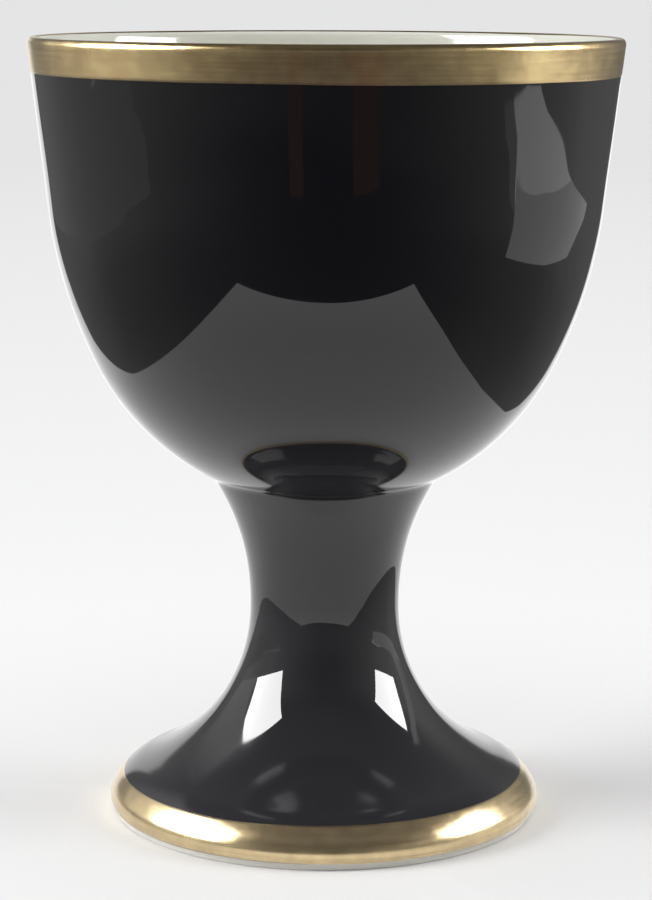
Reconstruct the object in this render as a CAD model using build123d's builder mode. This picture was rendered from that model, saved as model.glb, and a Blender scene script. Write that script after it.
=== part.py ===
"""Footed porcelain goblet: a black-glazed bowl luted to a hollow stem and foot, with gilt rim and foot.

Every piece is a section turned about the upright axis. The sections share one skeleton of tangent arcs,
drawn over the fired glaze, and each layer of clay, glaze or gold runs at its own distance from that skin.
"""

import os
from math import acos, asin, atan2, cos, degrees, radians, sin, sqrt, tan

from build123d import *

# Bowl, in millimetres and degrees, measured over the fired glaze
bowl_height = 74.3  # from the crease above the stem to the crest of the lip
rim_diameter = 99.6
lip_thickness = 1.9
wall_taper = 6.55  # lean of the upper wall, outwards as it rises
swell_height = 46.0  # from the crease up to the foot of the straight upper wall
side_radius = 80.6  # swelling below the straight wall, before the round belly
bowl_wall = 3.4

# Stem and foot, over the glaze
seat_height = 58.7  # from the table to the crease under the bowl
joint_diameter = 39.0
crease_radius = 2.9  # sponged fillet in the crease
waist_diameter = 25.8
waist_height = 36.3
waist_length = 1.5  # straight part at the waist
foot_diameter = 74.5
shoulder_radius = 10.0  # round top of the foot's edge
bead_radius = 3.2  # tighter round at the foot's widest place
bead_height = 2.45
bead_rise = 1.48  # from the bead's middle up to the shoulder
bead_drop = 1.2  # from the bead's middle down to the bare foot
foot_edge_lean = 14.0  # inward lean of the bare edge below the gold
foot_wall = 4.0
ring_bevel = 0.2  # ground edge on both sides of the resting ring

# Fired coats and the joint
glaze_thickness = 0.3
gilding_thickness = 0.08
luting_thickness = 0.5
rim_band_height = 6.1
rim_band_overlap = 0.9  # gold past the crest, along the skin towards the inside
foot_band_width = 6.1  # along the skin, up from the bare foot
bare_ring_height = 1.2  # wiped clay above the resting ring, on the hollow side

CREST = 90.0
AXIS_DOWN = -90.0
AXIS_SIDE = 180.0
FULL_TURN = 360.0


def ray(angle):
    """Unit vector in the section that rises from level by an angle in degrees."""
    return Vector(cos(radians(angle)), sin(radians(angle)))


def heading(vector):
    """Angle of a vector in the section, in degrees from level, counted from 0 to 360."""
    return degrees(atan2(vector.Y, vector.X)) % FULL_TURN


def arc(centre, radius, start, end):
    """Arc about a centre between two headings in degrees."""
    return CenterArc(centre, radius, start, end - start)


def circles_meet(first, first_radius, second, second_radius):
    """Crossing of two circles that lies nearer to the upright axis."""
    across = second - first
    gap = across.length
    along = (first_radius**2 - second_radius**2 + gap**2) / (2 * gap)
    half_chord = sqrt(first_radius**2 - along**2)
    middle = first + across * (along / gap)
    square = Vector(-across.Y, across.X) * (half_chord / gap)
    return min(middle + square, middle - square, key=lambda point: point.X)


# Bowl skeleton: lip, straight wall, side arc, and a round belly centred on the axis
lip_radius = lip_thickness / 2
overall_height = seat_height + bowl_height
lip_centre = Vector(rim_diameter / 2 - lip_radius, overall_height - lip_radius)
wall_top = lip_centre + ray(-wall_taper) * lip_radius
wall_length = (wall_top.Y - seat_height - swell_height) / cos(radians(wall_taper))
wall_bottom = wall_top + ray(AXIS_DOWN - wall_taper) * wall_length
side_centre = wall_bottom - ray(-wall_taper) * side_radius
seat = Vector(joint_diameter / 2, seat_height)

# The belly touches the side arc and passes through the crease, which fixes its centre height
lift = (side_centre.Y - seat.Y) / side_radius
base = (side_radius**2 - side_centre.dot(side_centre) + seat.dot(seat)) / (2 * side_radius)
middle = (seat.Y + lift * base) / (1 - lift**2)
spread = sqrt(middle**2 - (seat.dot(seat) - base**2) / (1 - lift**2))
belly_centre = Vector(0, middle + spread)
belly_radius = (belly_centre - seat).length
belly_start = heading(belly_centre - side_centre) - FULL_TURN

# The inner wall is the common tangent of the lip and of the side arc less the wall
inner_side_radius = side_radius - bowl_wall
inner_belly_radius = belly_radius - bowl_wall
lip_reach = lip_centre - side_centre
inner_taper = degrees(acos((inner_side_radius + lip_radius) / lip_reach.length)) - heading(lip_reach)

# Stem skeleton: both arcs leave the waist upright, one up to the crease and one down to the foot
waist_radius = waist_diameter / 2
waist_top = waist_height + waist_length / 2
waist_bottom = waist_height - waist_length / 2
stem_reach = seat - Vector(waist_radius, waist_top)
stem_radius = stem_reach.dot(stem_reach) / (2 * stem_reach.X)
stem_centre = Vector(waist_radius + stem_radius, waist_top)
crease_centre = circles_meet(
    belly_centre, belly_radius + crease_radius, stem_centre, stem_radius - crease_radius
)
crease_start = heading(belly_centre - crease_centre)
crease_end = heading(crease_centre - stem_centre)
belly_end = crease_start - AXIS_SIDE

# Foot skeleton: bead, shoulder, and the flare that touches the shoulder
bead_centre = Vector(foot_diameter / 2 - bead_radius, bead_height)
bead_top = degrees(asin(bead_rise / bead_radius))
bead_bottom = -degrees(asin(bead_drop / bead_radius))
shoulder_centre = bead_centre + ray(bead_top) * (bead_radius - shoulder_radius)
flare_reach = Vector(waist_radius, waist_bottom) - shoulder_centre
flare_radius = (flare_reach.dot(flare_reach) - shoulder_radius**2) / (2 * (shoulder_radius - flare_reach.X))
flare_centre = Vector(waist_radius + flare_radius, waist_bottom)
shoulder_top = heading(flare_centre - shoulder_centre)

# Headings of the gold's edges, from its width along the skin
rim_band_end = CREST + degrees(rim_band_overlap / lip_radius)
gold_on_bead = radians(bead_top - bead_bottom) * bead_radius
foot_band_top = bead_top + degrees((foot_band_width - gold_on_bead) / shoulder_radius)

# Depths of the layers below the glazed skin
clay = -glaze_thickness
hollow_skin = -foot_wall
hollow_clay = glaze_thickness - foot_wall
clay_belly_radius = belly_radius + clay
luting_radius = clay_belly_radius + luting_thickness


def bowl_outside(depth, end):
    """Draw the bowl's outside from the crest of the lip down to a heading on the belly; give both ends."""
    lip = arc(lip_centre, lip_radius + depth, CREST, -wall_taper)
    side = arc(side_centre, side_radius + depth, -wall_taper, belly_start)
    belly = arc(belly_centre, belly_radius + depth, belly_start, end)
    Line(lip @ 1, side @ 0)
    return lip @ 0, belly @ 1


def bowl_inside(depth):
    """Draw the bowl's inside from the crest of the lip down to the axis; give both ends."""
    lip = arc(lip_centre, lip_radius + depth, CREST, AXIS_SIDE - inner_taper)
    side = arc(side_centre, inner_side_radius - depth, -inner_taper, belly_start)
    floor = arc(belly_centre, inner_belly_radius - depth, belly_start, AXIS_DOWN)
    Line(lip @ 1, side @ 0)
    return lip @ 0, floor @ 1


def stem_outside(depth, start):
    """Draw the stem and foot from a heading on the stem's arc down to the bare foot; give both ends."""
    stem = arc(stem_centre, stem_radius - depth, start, AXIS_SIDE)
    flare = arc(flare_centre, flare_radius - depth, AXIS_SIDE, AXIS_SIDE + shoulder_top)
    Line(stem @ 1, flare @ 0)
    arc(shoulder_centre, shoulder_radius + depth, shoulder_top, bead_top)
    bead = arc(bead_centre, bead_radius + depth, bead_top, bead_bottom)
    return stem @ 0, bead @ 1


def stem_inside(depth, start, end_height):
    """Draw the hollow of the stem and foot from a heading down to a height; give both ends."""
    stem = arc(stem_centre, stem_radius - depth, start, AXIS_SIDE)
    flare = arc(flare_centre, flare_radius - depth, AXIS_SIDE, AXIS_SIDE + shoulder_top)
    Line(stem @ 1, flare @ 0)
    radius = shoulder_radius + depth
    end = degrees(asin((end_height - shoulder_centre.Y) / radius))
    shoulder = arc(shoulder_centre, radius, shoulder_top, end)
    return stem @ 0, shoulder @ 1


def glazed_outside(depth):
    """Draw the whole outside, over the bowl, the crease, the stem and the foot; give both ends."""
    crest, _ = bowl_outside(depth, belly_end)
    arc(crease_centre, crease_radius - depth, crease_start, crease_end)
    _, foot = stem_outside(depth, crease_end)
    return crest, foot


def gilded_rim(depth):
    """Draw the skin under the rim's gold, from its lower edge over the crest; give both ends."""
    drop = (wall_top.Y - overall_height + rim_band_height) / cos(radians(wall_taper))
    lower = wall_top + ray(AXIS_DOWN - wall_taper) * drop + ray(-wall_taper) * depth
    lip = arc(lip_centre, lip_radius + depth, -wall_taper, rim_band_end)
    Line(lower, lip @ 0)
    return lower, lip @ 1


def gilded_foot(depth):
    """Draw the skin under the foot's gold, over the shoulder and the bead; give both ends."""
    shoulder = arc(shoulder_centre, shoulder_radius + depth, foot_band_top, bead_top)
    bead = arc(bead_centre, bead_radius + depth, bead_top, bead_bottom)
    return shoulder @ 0, bead @ 1


def stem_heading(depth, sphere_radius):
    """Heading on the stem's arc, at a depth, where it reaches a sphere about the belly's centre."""
    point = circles_meet(belly_centre, sphere_radius, stem_centre, stem_radius - depth)
    return heading(point - stem_centre)


def close_coat(inner_ends, outer_ends):
    """Close a coat across the two ends of its inner and outer skins."""
    for inner_end, outer_end in zip(inner_ends, outer_ends):
        Line(inner_end, outer_end)


os.makedirs("parts", exist_ok=True)

# Porcelain bowl, round underneath, before glazing
with BuildPart() as bowl:
    with BuildSketch(Plane.XZ):
        with BuildLine():
            _, underside = bowl_outside(clay, AXIS_DOWN)
            _, bowl_floor = bowl_inside(clay)
            Line(underside, bowl_floor)
        make_face()
    revolve(axis=Axis.Z)

# Hollow stem and foot, with a dished top that fits the round of the bowl
with BuildPart() as stem_and_foot:
    with BuildSketch(Plane.XZ):
        with BuildLine():
            outer_top, foot_edge = stem_outside(clay, stem_heading(clay, luting_radius))
            hollow_start = stem_heading(hollow_clay, luting_radius)
            inner_top, ring_inside = stem_inside(hollow_clay, hollow_start, 0)
            ring_outside = foot_edge - Vector(foot_edge.Y * tan(radians(foot_edge_lean)), foot_edge.Y)
            Line(foot_edge, ring_outside)
            Line(ring_outside, ring_inside)
            dish_start = heading(inner_top - belly_centre)
            arc(belly_centre, luting_radius, dish_start, heading(outer_top - belly_centre))
        make_face()
    revolve(axis=Axis.Z)
    resting_edges = stem_and_foot.edges().filter_by(GeomType.CIRCLE).group_by(Axis.Z)[0]
    chamfer(resting_edges, length=ring_bevel)

# Ring of fired slip that joins the two and fills the crease
with BuildPart() as luting_slip:
    with BuildSketch(Plane.XZ):
        with BuildLine():
            inner_high = stem_heading(hollow_clay, clay_belly_radius)
            inner_low = stem_heading(hollow_clay, luting_radius)
            outer_low = stem_heading(clay, luting_radius)
            bore = arc(stem_centre, stem_radius - hollow_clay, inner_high, inner_low)
            collar = arc(stem_centre, stem_radius - clay, outer_low, crease_end)
            fillet_arc = arc(crease_centre, crease_radius - clay, crease_start, crease_end)
            low_start = heading(bore @ 1 - belly_centre)
            arc(belly_centre, luting_radius, low_start, heading(collar @ 0 - belly_centre))
            high_start = heading(bore @ 0 - belly_centre)
            arc(belly_centre, clay_belly_radius, high_start, heading(fillet_arc @ 0 - belly_centre))
        make_face()
    revolve(axis=Axis.Z)

# Black glaze over the whole outside, from the crest of the lip to the bare foot
with BuildPart() as black_glaze:
    with BuildSketch(Plane.XZ):
        with BuildLine():
            close_coat(glazed_outside(clay), glazed_outside(0))
        make_face()
    revolve(axis=Axis.Z)

# White glaze inside the bowl
with BuildPart() as bowl_lining_glaze:
    with BuildSketch(Plane.XZ):
        with BuildLine():
            close_coat(bowl_inside(clay), bowl_inside(0))
        make_face()
    revolve(axis=Axis.Z)

# White glaze inside the hollow stem and foot, wiped off above the resting ring
with BuildPart() as foot_lining_glaze:
    with BuildSketch(Plane.XZ):
        with BuildLine():
            clay_start = stem_heading(hollow_clay, luting_radius)
            skin_start = stem_heading(hollow_skin, luting_radius)
            clay_side = stem_inside(hollow_clay, clay_start, bare_ring_height)
            skin_side = stem_inside(hollow_skin, skin_start, bare_ring_height)
            close_coat(clay_side, skin_side)
        make_face()
    revolve(axis=Axis.Z)

# Gold band that rolls over the lip
with BuildPart() as rim_gilding:
    with BuildSketch(Plane.XZ):
        with BuildLine():
            close_coat(gilded_rim(0), gilded_rim(gilding_thickness))
        make_face()
    revolve(axis=Axis.Z)

# Gold band round the foot's edge
with BuildPart() as foot_gilding:
    with BuildSketch(Plane.XZ):
        with BuildLine():
            close_coat(gilded_foot(0), gilded_foot(gilding_thickness))
        make_face()
    revolve(axis=Axis.Z)

bowl.part.label = "bowl"
stem_and_foot.part.label = "stem_and_foot"
luting_slip.part.label = "luting_slip"
black_glaze.part.label = "black_glaze"
bowl_lining_glaze.part.label = "bowl_lining_glaze"
foot_lining_glaze.part.label = "foot_lining_glaze"
rim_gilding.part.label = "rim_gilding"
foot_gilding.part.label = "foot_gilding"

export_step(bowl.part, "parts/bowl.step")
export_step(stem_and_foot.part, "parts/stem_and_foot.step")
export_step(luting_slip.part, "parts/luting_slip.step")
export_step(black_glaze.part, "parts/black_glaze.step")
export_step(bowl_lining_glaze.part, "parts/bowl_lining_glaze.step")
export_step(foot_lining_glaze.part, "parts/foot_lining_glaze.step")
export_step(rim_gilding.part, "parts/rim_gilding.step")
export_step(foot_gilding.part, "parts/foot_gilding.step")
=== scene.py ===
"""Footed porcelain goblet, dressed: turned clay, fired glazes and two hand-laid bands of gold.

Every piece is a section carried round the upright axis, P(a, k) = (r(k) cos a, r(k) sin a, z(k)). The
sections follow one skeleton of tangent arcs drawn over the fired glaze, and each coat lies at its own depth
from that skin. Sections are in millimetres and degrees, meshes and the studio in metres.
"""

import logging
import math
from collections.abc import Callable
from dataclasses import dataclass
from enum import Enum
from functools import cached_property, partial

import bpy
import numpy as np
from mathutils import Matrix


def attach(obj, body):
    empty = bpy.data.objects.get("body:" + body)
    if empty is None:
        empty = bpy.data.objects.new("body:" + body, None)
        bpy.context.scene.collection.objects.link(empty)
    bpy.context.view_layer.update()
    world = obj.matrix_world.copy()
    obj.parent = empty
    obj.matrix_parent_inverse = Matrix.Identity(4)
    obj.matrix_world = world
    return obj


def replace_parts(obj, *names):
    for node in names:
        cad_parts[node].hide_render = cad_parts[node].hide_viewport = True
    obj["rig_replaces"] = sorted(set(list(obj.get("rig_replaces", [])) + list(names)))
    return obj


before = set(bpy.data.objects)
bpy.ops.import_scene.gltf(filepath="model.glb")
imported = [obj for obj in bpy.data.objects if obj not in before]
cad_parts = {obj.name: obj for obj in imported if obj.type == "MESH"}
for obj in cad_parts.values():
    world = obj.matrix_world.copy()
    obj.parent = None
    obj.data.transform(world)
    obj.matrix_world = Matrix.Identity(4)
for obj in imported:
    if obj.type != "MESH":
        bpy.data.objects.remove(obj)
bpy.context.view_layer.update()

MM = 0.001
BODY = "root"
AROUND = 256  # sections round the axis
# Angles in degrees: headings in a section, the least fold that stays a sharp edge, and straight down to level
CREST = 90.0
AXIS_DOWN = -90.0
AXIS_SIDE = 180.0
FULL_TURN = 360.0
SHARP_EDGE = 60.0
LEVEL = 90.0
WHITE = "#FFFFFF"
BLACK = "#000000"

LOG = logging.getLogger("goblet")
Pair = tuple[float, float]
Corner = tuple[float, float, float]
Colour = tuple[float, float, float, float]
Stop = tuple[float, str]
Piece = bpy.types.Object
Material = bpy.types.Material
Node = bpy.types.Node
Socket = bpy.types.NodeSocket
Input = float | Corner | Colour | Node | Socket
Adder = Callable[..., Node]


class Slot(Enum):
    """Material slots of the record."""

    PORCELAIN = "porcelain"
    BLACK_GLAZE = "black_glaze"
    WHITE_GLAZE = "white_glaze"
    GOLD = "gold"


class Seen(Enum):
    """How a piece of the studio is seen: by eye and by matt surfaces, or only in gloss."""

    BY_EYE = "by_eye"
    IN_GLOSS = "in_gloss"


class Fade(Enum):
    """What the glow of a card fades by: nothing, the way along Y, or the number of bounces in gloss."""

    NONE = "none"
    ALONG_Y = "along_y"
    BY_BOUNCE = "by_bounce"


# Section geometry


def ray(angle: float) -> np.ndarray:
    """Give the unit vector in the section that rises from level by an angle in degrees."""
    return np.array([math.cos(math.radians(angle)), math.sin(math.radians(angle))])


def heading(vector: np.ndarray) -> float:
    """Give the angle of a vector in the section, in degrees from level, from 0 to 360."""
    return math.degrees(math.atan2(vector[1], vector[0])) % FULL_TURN


def circles_meet(
    first: np.ndarray, first_radius: float, second: np.ndarray, second_radius: float
) -> np.ndarray:
    """Find the crossing of two circles that lies nearer to the upright axis.

    Args:
        first: Centre of the first circle.
        first_radius: Its radius.
        second: Centre of the second circle.
        second_radius: Its radius.

    Returns:
        The crossing, as (r, z).
    """
    across = second - first
    gap = float(np.hypot(*across))
    along = (first_radius**2 - second_radius**2 + gap**2) / (2 * gap)
    half_chord = math.sqrt(first_radius**2 - along**2)
    middle = first + across * (along / gap)
    square = np.array([-across[1], across[0]]) * (half_chord / gap)
    return min(middle + square, middle - square, key=lambda point: point[0])


def smooth_step(values: np.ndarray) -> np.ndarray:
    """Ease from 0 to 1 with level ends: 3 t^2 - 2 t^3, with t held between 0 and 1."""
    held = np.clip(values, 0.0, 1.0)
    return held * held * (3.0 - 2.0 * held)


@dataclass(frozen=True)
class Bend:
    """One arc of a section, about a centre, between two headings in degrees."""

    centre: np.ndarray
    radius: float
    start: float
    end: float

    @property
    def length(self) -> float:
        """Length along the arc."""
        return self.radius * math.radians(abs(self.end - self.start))

    def at(self, distance: np.ndarray) -> tuple[np.ndarray, np.ndarray]:
        """Give points centre + radius (cos t, sin t) and the normals on the left of the way along.

        Args:
            distance: Distances from the start.

        Returns:
            Points and unit normals, each with a last axis of (r, z).
        """
        way = math.copysign(1.0, self.end - self.start)
        turn = math.radians(self.start) + way * distance / self.radius
        spoke = np.stack([np.cos(turn), np.sin(turn)], axis=-1)
        return self.centre + self.radius * spoke, -way * spoke


@dataclass(frozen=True)
class Straight:
    """One straight run of a section."""

    start: np.ndarray
    end: np.ndarray

    @property
    def length(self) -> float:
        """Length of the run."""
        return float(np.hypot(*(self.end - self.start)))

    def at(self, distance: np.ndarray) -> tuple[np.ndarray, np.ndarray]:
        """Give points start + d t, t being the run's direction, and the normals on its left.

        Args:
            distance: Distances from the start.

        Returns:
            Points and unit normals, each with a last axis of (r, z).
        """
        along = (self.end - self.start) / self.length
        points = self.start + distance[..., None] * along
        return points, np.broadcast_to([-along[1], along[0]], points.shape)


@dataclass(frozen=True)
class Path:
    """Stretches of a section laid end to end."""

    stretches: tuple[Bend | Straight, ...]

    @cached_property
    def starts(self) -> np.ndarray:
        """Distance at which each stretch starts, and the whole length last."""
        return np.concatenate([[0.0], np.cumsum([stretch.length for stretch in self.stretches])])

    @property
    def length(self) -> float:
        """Length of the whole path."""
        return float(self.starts[-1])

    def at(self, distance: np.ndarray, depth: np.ndarray | float = 0.0) -> np.ndarray:
        """Give points along the path, moved along its left-hand normal by a depth.

        Past its ends the path goes on along its first and last stretch.

        Args:
            distance: Distances from the start, an array of any shape.
            depth: How far outside the path the points lie, one number or an array of that shape.

        Returns:
            Points with a last axis of (r, z).
        """
        depth = np.broadcast_to(depth, distance.shape)
        which = np.searchsorted(self.starts, distance, side="right") - 1
        which = np.clip(which, 0, len(self.stretches) - 1)
        points = np.empty(distance.shape + (2,))
        for index, stretch in enumerate(self.stretches):
            chosen = which == index
            spots, normals = stretch.at(distance[chosen] - self.starts[index])
            points[chosen] = spots + depth[chosen][:, None] * normals
        return points

    def marks(self, spacing: float) -> np.ndarray:
        """Give distances no further apart than a spacing, with one at every joint of two stretches.

        Args:
            spacing: The widest step.

        Returns:
            Distances from the start, with both ends.
        """
        runs = []
        for start, stretch in zip(self.starts, self.stretches):
            steps = max(2, math.ceil(stretch.length / spacing))
            runs.append(start + np.linspace(0.0, stretch.length, steps, endpoint=False))
        return np.concatenate(runs + [[self.length]])

    def points(self, spacing: float) -> np.ndarray:
        """Give points along the path, no further apart than a spacing."""
        return self.at(self.marks(spacing))


def chain(*bends: Bend) -> Path:
    """Join bends into a path, with a straight run wherever two of them leave a gap.

    Args:
        *bends: The bends in order.

    Returns:
        The path.
    """
    stretches: list[Bend | Straight] = [bends[0]]
    for bend in bends[1:]:
        here = stretches[-1].at(np.array([stretches[-1].length]))[0][0]
        there = bend.at(np.array([0.0]))[0][0]
        if not np.allclose(here, there):
            stretches.append(Straight(here, there))
        stretches.append(bend)
    return Path(tuple(stretches))


def rounded_edge(start: np.ndarray, end: np.ndarray, bulge: float, steps: int = 6) -> np.ndarray:
    """Round off a coat's edge with half an ellipse that swells to the right of the way along.

    Args:
        start: Point where the edge leaves one skin.
        end: Point where it reaches the other.
        bulge: How far it swells.
        steps: Number of points between the two ends.

    Returns:
        The points between the two ends.
    """
    half = (end - start) / 2
    outward = np.array([half[1], -half[0]]) / np.hypot(*half)
    turn = np.linspace(0.0, np.pi, steps + 2)[1:-1, None]
    return (start + end) / 2 - half * np.cos(turn) + outward * bulge * np.sin(turn)


@dataclass(frozen=True)
class Skeleton:
    """The goblet's section over the fired glaze, in millimetres and degrees."""

    bowl_height: float = 74.3
    rim_diameter: float = 99.6
    lip_thickness: float = 1.9
    wall_taper: float = 6.55
    swell_height: float = 46.0
    side_radius: float = 80.6
    bowl_wall: float = 3.4
    seat_height: float = 58.7
    joint_diameter: float = 39.0
    crease_radius: float = 2.9
    waist_diameter: float = 25.8
    waist_height: float = 36.3
    waist_length: float = 1.5
    foot_diameter: float = 74.5
    shoulder_radius: float = 10.0
    bead_radius: float = 3.2
    bead_height: float = 2.45
    bead_rise: float = 1.48
    bead_drop: float = 1.2
    foot_edge_lean: float = 14.0
    foot_wall: float = 4.0
    ring_bevel: float = 0.2
    glaze_thickness: float = 0.3
    luting_thickness: float = 0.5
    bare_ring_height: float = 1.2

    @property
    def clay(self) -> float:
        """Depth of the clay under the outer glaze."""
        return -self.glaze_thickness

    @property
    def hollow_skin(self) -> float:
        """Depth of the glazed skin inside the hollow stem."""
        return -self.foot_wall

    @property
    def hollow_clay(self) -> float:
        """Depth of the clay inside the hollow stem."""
        return self.glaze_thickness - self.foot_wall

    @property
    def overall_height(self) -> float:
        """Height of the lip's crest above the table."""
        return self.seat_height + self.bowl_height

    @property
    def lip_radius(self) -> float:
        """Radius of the lip's round."""
        return self.lip_thickness / 2

    @cached_property
    def lip_centre(self) -> np.ndarray:
        """Middle of the lip's round."""
        return np.array([self.rim_diameter / 2 - self.lip_radius, self.overall_height - self.lip_radius])

    @cached_property
    def side_centre(self) -> np.ndarray:
        """Centre of the swelling side, which takes over at the foot of the straight wall."""
        wall_top = self.lip_centre + ray(-self.wall_taper) * self.lip_radius
        drop = wall_top[1] - self.seat_height - self.swell_height
        wall_length = drop / math.cos(math.radians(self.wall_taper))
        wall_bottom = wall_top + ray(AXIS_DOWN - self.wall_taper) * wall_length
        return wall_bottom - ray(-self.wall_taper) * self.side_radius

    @cached_property
    def seat(self) -> np.ndarray:
        """Corner of the crease, where belly and stem would meet without a fillet."""
        return np.array([self.joint_diameter / 2, self.seat_height])

    @cached_property
    def belly_centre(self) -> np.ndarray:
        """Centre, on the axis, of the round belly that touches the side and passes through the crease."""
        side, seat = self.side_centre, self.seat
        lift = (side[1] - seat[1]) / self.side_radius
        base = (self.side_radius**2 - side @ side + seat @ seat) / (2 * self.side_radius)
        middle = (seat[1] + lift * base) / (1 - lift**2)
        spread = math.sqrt(middle**2 - (seat @ seat - base**2) / (1 - lift**2))
        return np.array([0.0, middle + spread])

    @cached_property
    def belly_radius(self) -> float:
        """Radius of the round belly."""
        return float(np.hypot(*(self.belly_centre - self.seat)))

    @cached_property
    def belly_start(self) -> float:
        """Heading on the belly where the side hands over to it."""
        return heading(self.belly_centre - self.side_centre) - FULL_TURN

    @cached_property
    def inner_taper(self) -> float:
        """Lean of the inner wall, the common tangent of the lip and of the side less the wall."""
        reach = self.lip_centre - self.side_centre
        inner_radius = self.side_radius - self.bowl_wall + self.lip_radius
        return math.degrees(math.acos(inner_radius / np.hypot(*reach))) - heading(reach)

    @property
    def waist_radius(self) -> float:
        """Radius of the waist."""
        return self.waist_diameter / 2

    @cached_property
    def stem_centre(self) -> np.ndarray:
        """Centre of the stem's arc, which leaves the waist upright and runs up to the crease."""
        top = np.array([self.waist_radius, self.waist_height + self.waist_length / 2])
        reach = self.seat - top
        return top + [reach @ reach / (2 * reach[0]), 0.0]

    @property
    def stem_radius(self) -> float:
        """Radius of the stem's arc."""
        return self.stem_centre[0] - self.waist_radius

    @cached_property
    def crease_centre(self) -> np.ndarray:
        """Centre of the sponged fillet in the crease."""
        below_belly = self.belly_radius + self.crease_radius
        beside_stem = self.stem_radius - self.crease_radius
        return circles_meet(self.belly_centre, below_belly, self.stem_centre, beside_stem)

    @property
    def crease_start(self) -> float:
        """Heading on the fillet where the belly hands over to it."""
        return heading(self.belly_centre - self.crease_centre)

    @property
    def crease_end(self) -> float:
        """Heading on the fillet, and on the stem's arc, where one hands over to the other."""
        return heading(self.crease_centre - self.stem_centre)

    @property
    def bead_centre(self) -> np.ndarray:
        """Centre of the tight round at the foot's widest place."""
        return np.array([self.foot_diameter / 2 - self.bead_radius, self.bead_height])

    @property
    def bead_top(self) -> float:
        """Heading where the shoulder hands over to the bead."""
        return math.degrees(math.asin(self.bead_rise / self.bead_radius))

    @property
    def bead_bottom(self) -> float:
        """Heading where glaze and gold stop above the bare foot."""
        return -math.degrees(math.asin(self.bead_drop / self.bead_radius))

    @cached_property
    def shoulder_centre(self) -> np.ndarray:
        """Centre of the round top of the foot's edge."""
        return self.bead_centre + ray(self.bead_top) * (self.bead_radius - self.shoulder_radius)

    @cached_property
    def flare_centre(self) -> np.ndarray:
        """Centre of the flare, which leaves the waist upright and touches the shoulder."""
        bottom = np.array([self.waist_radius, self.waist_height - self.waist_length / 2])
        reach = bottom - self.shoulder_centre
        radius = (reach @ reach - self.shoulder_radius**2) / (2 * (self.shoulder_radius - reach[0]))
        return bottom + [radius, 0.0]

    @property
    def flare_radius(self) -> float:
        """Radius of the flare."""
        return self.flare_centre[0] - self.waist_radius

    @property
    def shoulder_top(self) -> float:
        """Heading where the flare hands over to the shoulder."""
        return heading(self.flare_centre - self.shoulder_centre)

    @property
    def clay_belly_radius(self) -> float:
        """Radius of the bowl's round underside, before glazing."""
        return self.belly_radius + self.clay

    @property
    def luting_radius(self) -> float:
        """Radius of the dished top of the stem, below the slip."""
        return self.clay_belly_radius + self.luting_thickness

    def bowl_bends(self, depth: float, end: float) -> tuple[Bend, ...]:
        """Give the bowl's outside, from the crest of the lip to a heading on the belly."""
        return (
            Bend(self.lip_centre, self.lip_radius + depth, CREST, -self.wall_taper),
            Bend(self.side_centre, self.side_radius + depth, -self.wall_taper, self.belly_start),
            Bend(self.belly_centre, self.belly_radius + depth, self.belly_start, end),
        )

    def crease_bend(self, depth: float) -> Bend:
        """Give the fillet in the crease, from the belly to the stem."""
        return Bend(self.crease_centre, self.crease_radius - depth, self.crease_start, self.crease_end)

    def stem_bends(self, depth: float, start: float) -> tuple[Bend, ...]:
        """Give the two hollow arcs of the stem, from a heading on the upper one to the shoulder."""
        return (
            Bend(self.stem_centre, self.stem_radius - depth, start, AXIS_SIDE),
            Bend(self.flare_centre, self.flare_radius - depth, AXIS_SIDE, AXIS_SIDE + self.shoulder_top),
        )

    def foot_bends(self, depth: float) -> tuple[Bend, ...]:
        """Give the shoulder and the bead, down to the bare foot."""
        return (
            Bend(self.shoulder_centre, self.shoulder_radius + depth, self.shoulder_top, self.bead_top),
            Bend(self.bead_centre, self.bead_radius + depth, self.bead_top, self.bead_bottom),
        )

    def bowl_outside(self, depth: float) -> Path:
        """Run down the bowl's outside, from the crest of the lip to the axis."""
        return chain(*self.bowl_bends(depth, AXIS_DOWN))

    def bowl_inside(self, depth: float) -> Path:
        """Run down the bowl's inside, from the crest of the lip to the axis.

        Args:
            depth: How far over the fired glaze the run lies.

        Returns:
            The path.
        """
        side_radius = self.side_radius - self.bowl_wall - depth
        floor_radius = self.belly_radius - self.bowl_wall - depth
        return chain(
            Bend(self.lip_centre, self.lip_radius + depth, CREST, AXIS_SIDE - self.inner_taper),
            Bend(self.side_centre, side_radius, -self.inner_taper, self.belly_start),
            Bend(self.belly_centre, floor_radius, self.belly_start, AXIS_DOWN),
        )

    def stem_outside(self, depth: float, start: float) -> Path:
        """Run down the stem and foot, from a heading on the stem's arc to the bare foot."""
        return chain(*self.stem_bends(depth, start), *self.foot_bends(depth))

    def stem_inside(self, depth: float, start: float, end_height: float) -> Path:
        """Run down the hollow of the stem and foot.

        Args:
            depth: How far over the outer skin the run lies.
            start: Heading on the stem's arc where it starts.
            end_height: Height above the table where it ends.

        Returns:
            The path.
        """
        radius = self.shoulder_radius + depth
        end = math.degrees(math.asin((end_height - self.shoulder_centre[1]) / radius))
        shoulder = Bend(self.shoulder_centre, radius, self.shoulder_top, end)
        return chain(*self.stem_bends(depth, start), shoulder)

    def glazed_outside(self, depth: float) -> Path:
        """Run down the whole outside, over the bowl, the crease, the stem and the foot."""
        return chain(
            *self.bowl_bends(depth, self.crease_start - AXIS_SIDE),
            self.crease_bend(depth),
            *self.stem_bends(depth, self.crease_end),
            *self.foot_bends(depth),
        )

    def stem_heading(self, depth: float, round_radius: float) -> float:
        """Give the heading on the stem's arc, at a depth, where it meets a round about the belly's centre."""
        point = circles_meet(self.belly_centre, round_radius, self.stem_centre, self.stem_radius - depth)
        return heading(point - self.stem_centre)

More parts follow.
